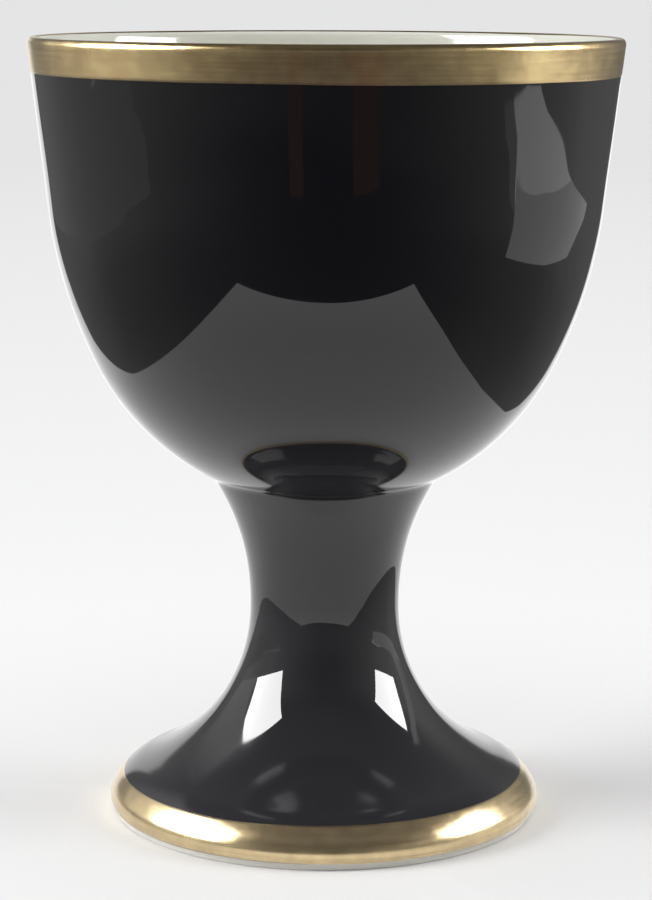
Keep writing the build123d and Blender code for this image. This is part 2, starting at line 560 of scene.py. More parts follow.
    def round_run(self, radius: float, start: np.ndarray, end: np.ndarray) -> Path:
        """Run along a round about the belly's centre, between the headings of two points."""
        first, last = heading(start - self.belly_centre), heading(end - self.belly_centre)
        return chain(Bend(self.belly_centre, radius, first, last))


# Turned meshes


def turns() -> np.ndarray:
    """Give the angles of the sections round the axis, in radians, as a column."""
    return np.linspace(0.0, 2 * np.pi, AROUND, endpoint=False)[:, None]


def turned_piece(name: str, section: np.ndarray, capped: bool = False) -> Piece:
    """Turn a section into a closed mesh: P(a, k) = (r cos a, r sin a, z).

    The section runs with the solid on its left. An open one starts and ends on the axis, where each end
    becomes one pole. Any other closes on itself.

    Args:
        name: Name of the piece.
        section: Points (r, z) in millimetres, shaped (points, 2), or (AROUND, points, 2) where the section
            changes with the angle.
        capped: Whether the section starts and ends on the axis.

    Returns:
        The new object, at the origin.
    """
    section = np.broadcast_to(section, (AROUND,) + section.shape[-2:])
    rings = section[:, 1:-1] if capped else section
    count = rings.shape[1]
    radius, height = rings[..., 0], rings[..., 1]
    grid = np.stack([radius * np.cos(turns()), radius * np.sin(turns()), height], axis=-1)
    vertices = grid.reshape(-1, 3)
    here = np.arange(AROUND)[:, None]
    there = (here + 1) % AROUND
    low = np.arange(count - 1 if capped else count)
    high = (low + 1) % count
    corners = (here * count + low, there * count + low, there * count + high, here * count + high)
    faces = np.stack(corners, axis=-1).reshape(-1, 4).tolist()
    if capped:
        first, last = len(vertices), len(vertices) + 1
        poles = [[0.0, 0.0, section[0, 0, 1]], [0.0, 0.0, section[0, -1, 1]]]
        vertices = np.concatenate([vertices, poles])
        start = np.stack([np.full(AROUND, first), there[:, 0] * count, here[:, 0] * count], axis=-1)
        ends = (here[:, 0] * count + count - 1, there[:, 0] * count + count - 1, np.full(AROUND, last))
        faces += start.tolist() + np.stack(ends, axis=-1).tolist()
    mesh = bpy.data.meshes.new(name)
    mesh.from_pydata((vertices * MM).tolist(), [], faces)
    mesh.shade_smooth()
    mesh.set_sharp_from_angle(angle=math.radians(SHARP_EDGE))
    piece = bpy.data.objects.new(name, mesh)
    bpy.context.scene.collection.objects.link(piece)
    return piece


def dress(piece: Piece, material: Material, node: str) -> Piece:
    """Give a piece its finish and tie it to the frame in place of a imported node.

    Args:
        piece: The new piece.
        material: Its finish.
        node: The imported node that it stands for.

    Returns:
        The same piece.
    """
    piece.data.materials.append(material)
    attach(piece, BODY)
    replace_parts(piece, node)
    return piece


# Finishes


def linear(hex_colour: str) -> Colour:
    """Turn an sRGB hex colour into a linear one, along the standard's curve.

    Args:
        hex_colour: The colour, such as "#C8A45A".

    Returns:
        Linear red, green, blue and alpha.
    """
    channels = np.array([int(hex_colour[place : place + 2], 16) for place in (1, 3, 5)]) / 255
    curve = np.where(channels <= 0.04045, channels / 12.92, ((channels + 0.055) / 1.055) ** 2.4)
    return (*curve.tolist(), 1.0)


def per_metre(size_mm: float) -> float:
    """Give the texture scale at which a pattern repeats about once in a size in millimetres."""
    return 1.0 / (size_mm * MM)


def wire(node: Node, inputs: dict[str | int, Input]) -> None:
    """Set or link the inputs of a node.

    Args:
        node: The node.
        inputs: What each input takes, by its name, or by its number where names repeat: a constant, a socket,
            or a node, which gives the first of its outputs that is in use.
    """
    for name, value in inputs.items():
        named = (socket for socket in node.inputs if socket.enabled and socket.name == name)
        target = node.inputs[name] if isinstance(name, int) else next(named)
        if isinstance(value, Node):
            value = next(socket for socket in value.outputs if socket.enabled)
        if isinstance(value, Socket):
            node.id_data.links.new(value, target)
        else:
            target.default_value = value


def add_node(tree: bpy.types.NodeTree, kind: str, inputs: dict | None = None, **settings: str) -> Node:
    """Add a node with its settings and links.

    Args:
        tree: The node tree.
        kind: Blender's name for the node, without ShaderNode in front.
        inputs: What its inputs take, as for wire.
        **settings: Properties of the node by name.

    Returns:
        The new node.
    """
    node = tree.nodes.new(f"ShaderNode{kind}")
    for name, value in settings.items():
        setattr(node, name, value)
    wire(node, inputs or {})
    return node


def new_material(name: str) -> tuple[Material, Adder, Node]:
    """Start a node material.

    Args:
        name: Name of the material.

    Returns:
        The material, a function that adds nodes to it, and its Principled BSDF.
    """
    material = bpy.data.materials.new(name)
    material.use_nodes = True
    tree = material.node_tree
    return material, partial(add_node, tree), tree.nodes["Principled BSDF"]


@dataclass(frozen=True)
class BlackGlaze:
    """Black gloss glaze, poured and fired: a mirror over a near-black body, with a lighter base colour
    towards the foot.

    Dust dulls what faces up and haze what hangs over, each from one upright share of the normal to another.
    """

    name: str = "fired black gloss glaze"
    deep: str = "#19191C"
    # held: the lighter tint that the base colour takes low down, over the stem, the foot and the bottom of
    # the bowl
    film: str = "#1E1D20"
    held: str = "#302F32"
    lighter_tint_fades_mm: Pair = (62.0, 92.0)
    dust_haze: float = 0.11
    dust_facing: Pair = (0.55, 0.8)
    hung_haze: float = 0.1
    hung_facing: Pair = (-0.72, -0.9)
    ior: float = 1.5
    polish: float = 0.015
    dulled: float = 0.05
    smudge_share: Pair = (0.5, 0.75)
    smudge_mm: float = 11.0
    cloud_mm: float = 26.0
    ripple_mm: float = 3.5
    ripple_height_mm: float = 0.0006

    def material(self) -> Material:
        """Build the finish: roughness follows soft smudges, and a fine ripple breaks the mirror.

        Returns:
            The material.
        """
        material, add, shader = new_material(self.name)
        place = add("TexCoord").outputs["Object"]
        cloud = add("TexNoise", {"Vector": place, "Scale": per_metre(self.cloud_mm), "Detail": 3.0})
        deep, film = linear(self.deep), linear(self.film)
        tint = add("Mix", {"Factor": cloud, "A": deep, "B": film}, data_type="RGBA")
        # The base colour is lighter low down: the held tint below 62 mm eases into the cloudy tint by 92 mm.
        height = add("SeparateXYZ", {"Vector": place}).outputs["Z"]
        start, full = self.lighter_tint_fades_mm
        plain = add(
            "MapRange",
            {"Value": height, "From Min": start * MM, "From Max": full * MM},
            interpolation_type="SMOOTHSTEP",
        )
        tinted = add("Mix", {"Factor": plain, "A": linear(self.held), "B": tint}, data_type="RGBA")
        smudge = add(
            "TexNoise",
            {"Vector": place, "Scale": per_metre(self.smudge_mm), "Detail": 4.0, "Distortion": 0.6},
        )
        start, full = self.smudge_share
        rough = add(
            "MapRange",
            {
                "Value": smudge,
                "From Min": start,
                "From Max": full,
                "To Min": self.polish,
                "To Max": self.dulled,
            },
            interpolation_type="SMOOTHSTEP",
        )
        normal = add("NewGeometry").outputs["Normal"]
        upward = add("SeparateXYZ", {"Vector": normal}).outputs["Z"]
        for (start, full), haze in ((self.dust_facing, self.dust_haze), (self.hung_facing, self.hung_haze)):
            haze_here = add(
                "MapRange",
                {"Value": upward, "From Min": start, "From Max": full, "To Max": haze},
                interpolation_type="SMOOTHSTEP",
            )
            rough = add("Math", {0: rough, 1: haze_here}, operation="ADD")
        ripple = add("TexNoise", {"Vector": place, "Scale": per_metre(self.ripple_mm), "Detail": 1.0})
        bump = add("Bump", {"Height": ripple, "Distance": self.ripple_height_mm * MM})
        wire(shader, {"Base Color": tinted, "Roughness": rough, "Normal": bump, "IOR": self.ior})
        return material


@dataclass(frozen=True)
class WhiteGlaze:
    """Clear gloss glaze over white porcelain: a warm white with a wet shine and soft pooling."""

    name: str = "clear gloss glaze on white porcelain"
    white: str = "#F5F5ED"
    pooled: str = "#EDEDE3"
    ior: float = 1.5
    polish: float = 0.05
    worn: float = 0.12
    wear_share: Pair = (0.35, 0.7)
    pool_mm: float = 24.0
    wear_mm: float = 6.0

    def material(self) -> Material:
        """Build the finish: colour follows soft pools of glaze, and roughness a light wear.

        Returns:
            The material.
        """
        material, add, shader = new_material(self.name)
        place = add("TexCoord").outputs["Object"]
        pool = add("TexNoise", {"Vector": place, "Scale": per_metre(self.pool_mm), "Detail": 2.0})
        white, pooled = linear(self.white), linear(self.pooled)
        tint = add("Mix", {"Factor": pool, "A": white, "B": pooled}, data_type="RGBA")
        wear = add("TexNoise", {"Vector": place, "Scale": per_metre(self.wear_mm), "Detail": 4.0})
        start, full = self.wear_share
        rough = add(
            "MapRange",
            {"Value": wear, "From Min": start, "From Max": full, "To Min": self.polish, "To Max": self.worn},
        )
        wire(shader, {"Base Color": tint, "Roughness": rough, "IOR": self.ior})
        return material


@dataclass(frozen=True)
class BarePorcelain:
    """Unglazed fired porcelain, sponged and ground at the ring: matt, dense and faintly grained.

    The real grain is too fine to show, so it is drawn coarser.
    """

    name: str = "bare fired porcelain"
    plain: str = "#F7F5EF"
    tinted: str = "#E9E5DB"
    roughness: float = 0.6
    stain_mm: float = 7.0
    grain_mm: float = 0.35
    grain_height_mm: float = 0.01

    def material(self) -> Material:
        """Build the finish: a slight stain from handling over a fine fired grain.

        Returns:
            The material.
        """
        material, add, shader = new_material(self.name)
        place = add("TexCoord").outputs["Object"]
        stain = add("TexNoise", {"Vector": place, "Scale": per_metre(self.stain_mm), "Detail": 5.0})
        plain, tinted = linear(self.plain), linear(self.tinted)
        tint = add("Mix", {"Factor": stain, "A": plain, "B": tinted}, data_type="RGBA")
        grain = add("TexNoise", {"Vector": place, "Scale": per_metre(self.grain_mm), "Detail": 2.0})
        bump = add("Bump", {"Height": grain, "Distance": self.grain_height_mm * MM})
        wire(shader, {"Base Color": tint, "Normal": bump, "Roughness": self.roughness})
        return material


@dataclass(frozen=True)
class FiredGold:
    """Liquid gold, banded on with a brush and fired: a satin metal film with brush streaks and cloudy lay."""

    name: str = "brushed-on fired gold"
    bright: str = "#D6C196"
    thin: str = "#BAA682"
    polish: float = 0.19
    dull: float = 0.22
    dust: float = 0.12
    brushing: float = 0.3
    across_brushing: float = 0.25
    streak_width_mm: float = 0.5
    streak_length_mm: float = 22.0
    streak_height_mm: float = 0.003
    streak_share: Pair = (0.12, 0.42)
    cloud_mm: float = 3.0
    cloud_share: Pair = (0.3, 0.7)
    lay: str = "gold_lay"

    def material(self) -> Material:
        """Build the finish: streaks run round the band, read from the piece's own lay of the brush.

        Returns:
            The material.
        """
        material, add, shader = new_material(self.name)
        lay = add("Attribute", attribute_name=self.lay).outputs["Vector"]
        long, wide = per_metre(self.streak_length_mm), per_metre(self.streak_width_mm)
        brushed = add("Mapping", {"Vector": lay, "Scale": (long, long, wide)})
        streak = add("TexNoise", {"Vector": brushed, "Scale": 1.0, "Detail": 3.0})
        cloud = add("TexNoise", {"Vector": lay, "Scale": per_metre(self.cloud_mm), "Detail": 4.0})
        blend = add("Math", {0: streak, 1: cloud}, operation="MULTIPLY")
        start, full = self.streak_share
        share = add("MapRange", {"Value": blend, "From Min": start, "From Max": full})
        thin, bright = linear(self.thin), linear(self.bright)
        tint = add("Mix", {"Factor": share, "A": thin, "B": bright}, data_type="RGBA")
        start, full = self.cloud_share
        rough = add(
            "MapRange",
            {"Value": cloud, "From Min": start, "From Max": full, "To Min": self.polish, "To Max": self.dull},
        )
        bump = add("Bump", {"Height": streak, "Distance": self.streak_height_mm * MM})
        round_axis = add("Tangent", direction_type="RADIAL", axis="Z")
        wire(
            shader,
            {
                "Base Color": tint,
                "Roughness": rough,
                "Normal": bump,
                "Tangent": round_axis,
                "Metallic": 1.0 - self.dust,
                "Anisotropic": self.brushing,
                "Anisotropic Rotation": self.across_brushing,
            },
        )
        return material


# Pieces


@dataclass
class Bowl:
    """The bowl: its porcelain shell and the white glaze that lines it."""

    skeleton: Skeleton
    body_spacing: float = 1.6
    lining_spacing: float = 0.7

    def shell(self) -> Piece:
        """Build the porcelain shell, closed on the axis above and below.

        Returns:
            The new object.
        """
        outside = self.skeleton.bowl_outside(self.skeleton.clay).points(self.body_spacing)
        inside = self.skeleton.bowl_inside(self.skeleton.clay).points(self.body_spacing)
        return turned_piece("porcelain_bowl", np.concatenate([outside[::-1], inside[1:]]), capped=True)

    def lining(self) -> Piece:
        """Build the white coat inside, from the crest of the lip to the axis.

        Returns:
            The new object.
        """
        clay_side = self.skeleton.bowl_inside(self.skeleton.clay).points(self.body_spacing)
        skin = self.skeleton.bowl_inside(0.0).points(self.lining_spacing)
        return turned_piece("white_bowl_lining", np.concatenate([clay_side[::-1], skin]), capped=True)

    def build(self, porcelain: Material, white_glaze: Material) -> list[Piece]:
        """Build and dress both pieces."""
        return [
            dress(self.shell(), porcelain, "bowl"),
            dress(self.lining(), white_glaze, "bowl_lining_glaze"),
        ]


@dataclass
class StemAndFoot:
    """The hollow stem and foot, the slip that joins it to the bowl, and the glaze inside it."""

    skeleton: Skeleton
    spacing: float = 0.9
    ring_steps: int = 8
    bevel_rounding: float = 0.05
    edge_rounding: float = 0.12

    def casting(self) -> Piece:
        """Build the casting: up the outside, across the dished top, down the hollow and across the ring.

        Returns:
            The new object.
        """
        bones = self.skeleton
        outside = bones.stem_outside(bones.clay, bones.stem_heading(bones.clay, bones.luting_radius))
        hollow_top = bones.stem_heading(bones.hollow_clay, bones.luting_radius)
        inside = bones.stem_inside(bones.hollow_clay, hollow_top, 0.0)
        outer, inner = outside.points(self.spacing), inside.points(self.spacing)
        dish = bones.round_run(bones.luting_radius, outer[0], inner[0]).points(self.spacing)
        edge = outer[-1]
        ring_outside = edge - [edge[1] * math.tan(math.radians(bones.foot_edge_lean)), edge[1]]
        bevel = bones.ring_bevel
        inner_run = inner[inner[:, 1] > bevel]
        lip_inside = inner_run[-1] + (inner[-1] - inner_run[-1]) * (1 - bevel / inner_run[-1][1])
        ring = np.array([lip_inside, inner[-1] + [bevel, 0.0], ring_outside - [bevel, 0.0]])
        lip_outside = ring_outside + (edge - ring_outside) * (bevel / edge[1])
        rounded = [
            ring[:1],
            rounded_edge(ring[0], ring[1], self.bevel_rounding),
            ring[1:],
            rounded_edge(ring[2], lip_outside, self.bevel_rounding),
            lip_outside[None],
        ]
        section = np.concatenate([outer[::-1], dish[1:-1], inner_run, *rounded])
        return turned_piece("porcelain_stem_and_foot", section)

    def slip_ring(self) -> Piece:
        """Build the ring of slip: up its bore, out under the bowl, round the fillet and in over the dish.

        Returns:
            The new object.
        """
        bones = self.skeleton
        bore_high = bones.stem_heading(bones.hollow_clay, bones.clay_belly_radius)
        bore_low = bones.stem_heading(bones.hollow_clay, bones.luting_radius)
        collar_low = bones.stem_heading(bones.clay, bones.luting_radius)
        bends = (
            Bend(bones.stem_centre, bones.stem_radius - bones.hollow_clay, bore_low, bore_high),
            bones.crease_bend(bones.clay),
            Bend(bones.stem_centre, bones.stem_radius - bones.clay, bones.crease_end, collar_low),
        )
        bore, fillet, collar = (bend.at(np.linspace(0.0, bend.length, self.ring_steps))[0] for bend in bends)
        upper = bones.round_run(bones.clay_belly_radius, bore[-1], fillet[0]).points(self.spacing)[1:-1]
        lower = bones.round_run(bones.luting_radius, collar[-1], bore[0]).points(self.spacing)[1:-1]
        loop = np.concatenate([bore, upper, fillet, collar[1:], lower])
        return turned_piece("fired_slip_ring", loop[::-1])

    def lining(self) -> Piece:
        """Build the white coat inside the hollow, with a rounded edge above the bare ring.

        Returns:
            The new object.
        """
        bones = self.skeleton
        clay_side, skin = (
            bones.stem_inside(
                depth, bones.stem_heading(depth, bones.luting_radius), bones.bare_ring_height
            ).points(self.spacing)
            for depth in (bones.hollow_clay, bones.hollow_skin)
        )
        edge = rounded_edge(skin[-1], clay_side[-1], self.edge_rounding)
        return turned_piece("white_foot_lining", np.concatenate([clay_side[::-1], skin, edge]))

    def build(self, porcelain: Material, white_glaze: Material) -> list[Piece]:
        """Build and dress the three pieces."""
        return [
            dress(self.casting(), porcelain, "stem_and_foot"),
            dress(self.slip_ring(), porcelain, "luting_slip"),
            dress(self.lining(), white_glaze, "foot_lining_glaze"),
        ]


@dataclass
class BlackCoat:
    """The black glaze over the whole outside, with the slow waves that a poured glaze sets in."""

    skeleton: Skeleton
    skin_spacing: float = 0.6
    clay_spacing: float = 1.8
    edge_rounding: float = 0.12
    waves: int = 14
    most_crests: int = 9
    wave_slope: float = 0.0011
    shortest_wave: float = 11.0
    longest_wave: float = 38.0
    fade: float = 4.0
    waist_draw: float = 0.03
    waist_spread: float = 1.3
    crease_draw: float = 0.09
    crease_spread: float = 3.6
    seed: int = 11

    def settle(self, distance: np.ndarray) -> np.ndarray:
        """Give how the glaze draws in as it flows: a dip round the waist, and a thin edge under the crease.

        The dip is w exp(-((s - a) / l)^2 / 2) about the waist a. Below the crease b the glaze thins by
        c (1 - (s - b) / m)^2, and above it by c times a smooth step over the length m.

        Args:
            distance: Distances down the outside from the crest, in millimetres.

        Returns:
            Heights in millimetres, of the same shape, none above zero.
        """
        bones = self.skeleton
        bowl = bones.bowl_bends(0.0, bones.crease_start - AXIS_SIDE)
        edge = chain(*bowl, bones.crease_bend(0.0)).length
        waist = edge + bones.stem_bends(0.0, bones.crease_end)[0].length + bones.waist_length / 2
        dip = self.waist_draw * np.exp(-(((distance - waist) / self.waist_spread) ** 2) / 2)
        below = np.clip(1 - (distance - edge) / self.crease_spread, 0.0, 1.0) ** 2
        above = smooth_step(1 - (edge - distance) / self.crease_spread)
        return -dip - self.crease_draw * np.where(distance > edge, below, above)

    def swell(self, distance: np.ndarray) -> np.ndarray:
        """Give the height of the glaze's waves: a sum of a_i cos(m_i angle + 2 pi s / l_i + p_i).

        Each wave has a whole number of crests round the goblet, so the seam closes, and a height that keeps
        its steepest slope even. The waves fade out towards the lip and the bare foot.

        Args:
            distance: Distances down the outside from the crest, shaped (AROUND, points).

        Returns:
            Heights in millimetres, of the same shape.
        """
        draw = np.random.default_rng(self.seed)
        lengths = draw.uniform(self.shortest_wave, self.longest_wave, self.waves)
        crests = draw.integers(-self.most_crests, self.most_crests, self.waves, endpoint=True)
        phases = draw.uniform(0.0, 2 * np.pi, self.waves)
        heights = self.wave_slope * lengths / (2 * np.pi)
        swing = np.multiply.outer(turns(), crests) + np.multiply.outer(distance, 2 * np.pi / lengths) + phases
        total = np.sum(heights * np.cos(swing), axis=-1)
        whole = self.skeleton.glazed_outside(0.0).length
        waves = total * smooth_step(distance / self.fade) * smooth_step((whole - distance) / self.fade)
        return waves + self.settle(distance)

    def coat(self) -> Piece:
        """Build the coat: up the waved skin, and down the clay under it to a rounded edge at the foot.

        Returns:
            The new object.
        """
        outside = self.skeleton.glazed_outside(0.0)
        clay = self.skeleton.glazed_outside(self.skeleton.clay).points(self.clay_spacing)
        marks = outside.marks(self.skin_spacing)[::-1]
        distance = np.broadcast_to(marks, (AROUND, marks.size))
        skin = outside.at(distance, self.swell(distance))
        edge = rounded_edge(clay[-1], skin[0, 0], self.edge_rounding)
        under = np.broadcast_to(np.concatenate([clay, edge]), (AROUND, len(clay) + len(edge), 2))
        return turned_piece("black_glaze_coat", np.concatenate([skin, under], axis=1))

    def build(self, black_glaze: Material) -> list[Piece]:
        """Build and dress the coat."""
        return [dress(self.coat(), black_glaze, "black_glaze")]


@dataclass
class GoldBand:
    """One band of gold, laid on the glaze by brush, with edges that wander as the goblet turns.

    Both edges are distances down the outside from the crest, and the band's back is bedded in the glaze.
    """

    coat: BlackCoat
    name: str
    node: str
    upper: float
    lower: float
    upper_tilt: float = 0.0
    lower_tilt: float = 0.0
    wander: float = 0.05
    hand_waves: tuple[int, ...] = (2, 3, 5, 8, 13)
    thickness: float = 0.03
    bedding: float = 0.0075
    ridge: float = 0.12
    feather: float = 0.3
    columns: int = 40
    seed: int = 3

    def wobble(self, draw: np.random.Generator, tilt: float) -> np.ndarray:
        """Give how far an edge strays: one slow tilt to the right plus a few small waves of the hand.

        The stray is tilt cos a + wander times the sum of cos(m_i a + p_i) / sqrt(m_i).

        Args:
            draw: Source of the phases p_i.
            tilt: Stray at the goblet's right, with its opposite at the left.

        Returns:
            Strays in millimetres along the section, shaped (AROUND, 1).
        """
        crests = np.array(self.hand_waves)
        phases = draw.uniform(0.0, 2 * np.pi, crests.size)
        hand = np.sum(np.cos(crests * turns() + phases) / np.sqrt(crests), axis=1, keepdims=True)
        return tilt * np.cos(turns()) + self.wander * hand

    def band(self, lay: str) -> Piece:
        """Build the band: s runs between its two edges, and its height follows the ridges left by the brush.

        Args:
            lay: Name of the attribute that holds the lay of the brush, (x, y, distance across the band).

        Returns:
            The new object.
        """
        draw = np.random.default_rng(self.seed)
        upper = self.upper + self.wobble(draw, self.upper_tilt)
        lower = self.lower + self.wobble(draw, self.lower_tilt)
        share = (1 - np.cos(np.linspace(0.0, np.pi, self.columns))) / 2
        distance = lower + (upper - lower) * share
        margin = np.minimum(distance - upper, lower - distance)
        rise = smooth_step(margin / self.feather)
        height = self.thickness * rise * (1 - self.ridge * smooth_step(margin / self.feather - 1))
        waves = self.coat.swell(distance)
        outside = self.coat.skeleton.glazed_outside(0.0)
        face = outside.at(distance, waves + height)
        return_run = slice(-2, 0, -1)
        back = outside.at(distance[:, return_run], waves[:, return_run] - self.bedding)
        piece = turned_piece(self.name, np.concatenate([face, back], axis=1))
        crosswise = np.concatenate([distance, distance[:, return_run]], axis=1) * MM
        places = np.empty(len(piece.data.vertices) * 3)
        piece.data.vertices.foreach_get("co", places)
        brush = np.concatenate([places.reshape(-1, 3)[:, :2], crosswise.reshape(-1, 1)], axis=1)
        piece.data.attributes.new(lay, "FLOAT_VECTOR", "POINT").data.foreach_set("vector", brush.ravel())
        return piece

    def build(self, gold: FiredGold) -> Piece:
        """Build and dress the band."""
        return dress(self.band(gold.lay), gold.material(), self.node)


@dataclass
class Gilding:
    """The two bands of gold: one rolls over the lip, the other ends at the bare foot.

    Reaches and widths run along the skin, and a tilt is the stray of one edge at the goblet's right.
    """

    coat: BlackCoat
    rim_gold: FiredGold = FiredGold(
        name="brushed-on fired gold, thin",
        bright="#CEBA89",
        thin="#B8A076",
        polish=0.21,
        dull=0.26,
        dust=0.0,
        brushing=0.0,
        streak_height_mm=0.0016,
    )
    foot_gold: FiredGold = FiredGold()
    rim_overlap: float = 0.65
    rim_reach: float = 6.55
    rim_tilt: float = 0.2
    foot_width: float = 6.5
    foot_tilt: float = -0.4

    def build(self) -> list[Piece]:
        """Lay both bands and dress them.

        Returns:
            The rim's band and the foot's.
        """
        end = self.coat.skeleton.glazed_outside(0.0).length
        rim = GoldBand(
            self.coat,
            "gold_rim_band",
            "rim_gilding",
            -self.rim_overlap,
            self.rim_reach,
            lower_tilt=self.rim_tilt,
        )
        foot = GoldBand(
            self.coat,
            "gold_foot_band",
            "foot_gilding",
            end - self.foot_width,
            end,
            upper_tilt=self.foot_tilt,
        )
        return [rim.build(self.rim_gold), foot.build(self.foot_gold)]


# Studio and camera


@dataclass(frozen=True)
class PaperSweep:
    """The sheet of white paper that the goblet stands on, which turns up behind it.

    Each edge is a broken line of (distance back along the sheet, x), in metres.
    """

    front: float = -0.173
    bend: float = 0.36
    bend_radius: float = 0.06
    top_left: float = 0.601
    top_right: float = 0.494
    left_edge: tuple[Pair, ...] = (
        (-0.173, -0.122), (0.05, -0.137), (0.2, -0.17), (0.36, -0.235), (0.45, -0.25), (0.6, -0.205),
    )
    right_edge: tuple[Pair, ...] = (
        (-0.173, 0.121), (-0.01, 0.11), (0.075, 0.099), (0.12, 0.105), (0.31, 0.163),
        (0.42, 0.2), (0.5, 0.158),
    )
    rows: int = 80
    columns: int = 12

    def points(self) -> np.ndarray:
        """Give the sheet P(s, t) = (x from its left edge to its right edge by t, y(s), z(s)).

        The run s goes back along the table from the front edge, round a quarter bend and straight up. Both
        edges are drawn as broken lines over s, and the top edge slopes.

        Returns:
            Points in metres, shaped (rows, columns, 3).
        """
        across = np.linspace(0.0, 1.0, self.columns)
        top = self.top_left + (self.top_right - self.top_left) * across
        run = self.front + (top - self.front) * np.linspace(0.0, 1.0, self.rows)[:, None]
        left = np.interp(run, *np.transpose(self.left_edge))
        right = np.interp(run, *np.transpose(self.right_edge))
        turn = np.clip((run - self.bend) / self.bend_radius, 0.0, np.pi / 2)
        above = np.maximum(run - self.bend - self.bend_radius * np.pi / 2, 0.0)
        back = np.minimum(run, self.bend) + self.bend_radius * np.sin(turn)
        height = self.bend_radius * (1 - np.cos(turn)) + above
        return np.stack([left + (right - left) * across, back, height], axis=-1)

    def faces(self) -> list[list[int]]:
        """Give the quads between neighbouring points.

        Returns:
            Numbers of points, four to a quad.
        """
        corner = np.arange((self.rows - 1) * self.columns).reshape(-1, self.columns)[:, :-1].ravel()
        quads = np.stack([corner, corner + 1, corner + self.columns + 1, corner + self.columns], axis=-1)
        return quads.tolist()


def glow_finish(name: str, strength: float, colour: str = WHITE) -> tuple[Material, Adder, Node]:
    """Build an evenly bright face, for what gloss shows.

    Args:
        name: Name of the material.
        strength: Its glow, where 1 is white.
        colour: Tint of the glow.

    Returns:
        What new_material gives.
    """
    material, add, shader = new_material(name)
    glow = {"Emission Color": linear(colour), "Emission Strength": strength}
    wire(shader, {"Base Color": linear(BLACK), "Specular IOR Level": 0.0, **glow})
    return material, add, shader


def beside(side: float, *spots: Pair, lean: float = 0.0) -> tuple[Corner, ...]:
    """Give the corners of a card that stands to one side, x = side + lean z, from its (y, z)."""
    return tuple((side + lean * height, along, height) for along, height in spots)


def facing(depth: float, *spots: Pair) -> tuple[Corner, ...]:
    """Give the corners of a card that stands square to the view at a depth y, from its (x, z)."""
    return tuple((along, depth, height) for along, height in spots)


@dataclass(frozen=True)
class Card:
    """A flat bright face that only gloss shows, in metres, whose glow of painted light may fade over a run.
    """

    name: str
    corners: tuple[Corner, ...]
    glow: float = 1.0
    faded: float = 1.0
    run: Pair = (0.0, 1.0)
    fade: Fade = Fade.NONE
    colour: str = WHITE

    def finish(self) -> Material:
        """Build the card's face: even, fading along Y, or dimmer where gloss shows gloss.

        Returns:
            The material.
        """
        # Painted light: unless it is a lamp's face, the card's glow stands in for a lit surface of the room,
        # and a fade along Y is painted fall-off.
        material, add, shader = glow_finish(f"{self.name} face", self.glow, self.colour)
        if self.fade is Fade.NONE:
            return material
        if self.fade is Fade.BY_BOUNCE:
            measure = add("LightPath").outputs["Glossy Depth"]
        else:
            measure = add("SeparateXYZ", {"Vector": add("TexCoord").outputs["Object"]}).outputs["Y"]
        start, end = self.run
        level = add(
            "MapRange",
            {"Value": measure, "From Min": start, "From Max": end, "To Min": self.glow, "To Max": self.faded},
        )
        wire(shader, {"Emission Strength": level})
        return material


@dataclass(frozen=True)
class LampFace(Card):
    """The bright face of a lamp, which is dimmer from its second bounce on."""

    glow: float = 20.0
    faded: float = 8.0
    run: Pair = (1.0, 2.0)
    fade: Fade = Fade.BY_BOUNCE


@dataclass(frozen=True)
class SoftLight:
    """A soft even light that gloss doesn't show.

    Its azimuth is the bearing from the camera, to the right, its elevation the angle above level, and its
    spread the angle that it fills, all in degrees. Its strength is the light on a surface that faces it, in
    watts per square metre.
    """

    name: str
    azimuth: float
    elevation: float
    spread: float
    strength: float

    def build(self) -> None:
        """Hang the light."""
        lamp = bpy.data.lights.new(self.name, "SUN")
        lamp.energy = self.strength
        lamp.angle = math.radians(self.spread)
        light = bpy.data.objects.new(self.name, lamp)
        light.rotation_euler = (math.radians(LEVEL - self.elevation), 0.0, math.radians(self.azimuth))
        light.visible_glossy = False
        bpy.context.scene.collection.objects.link(light)


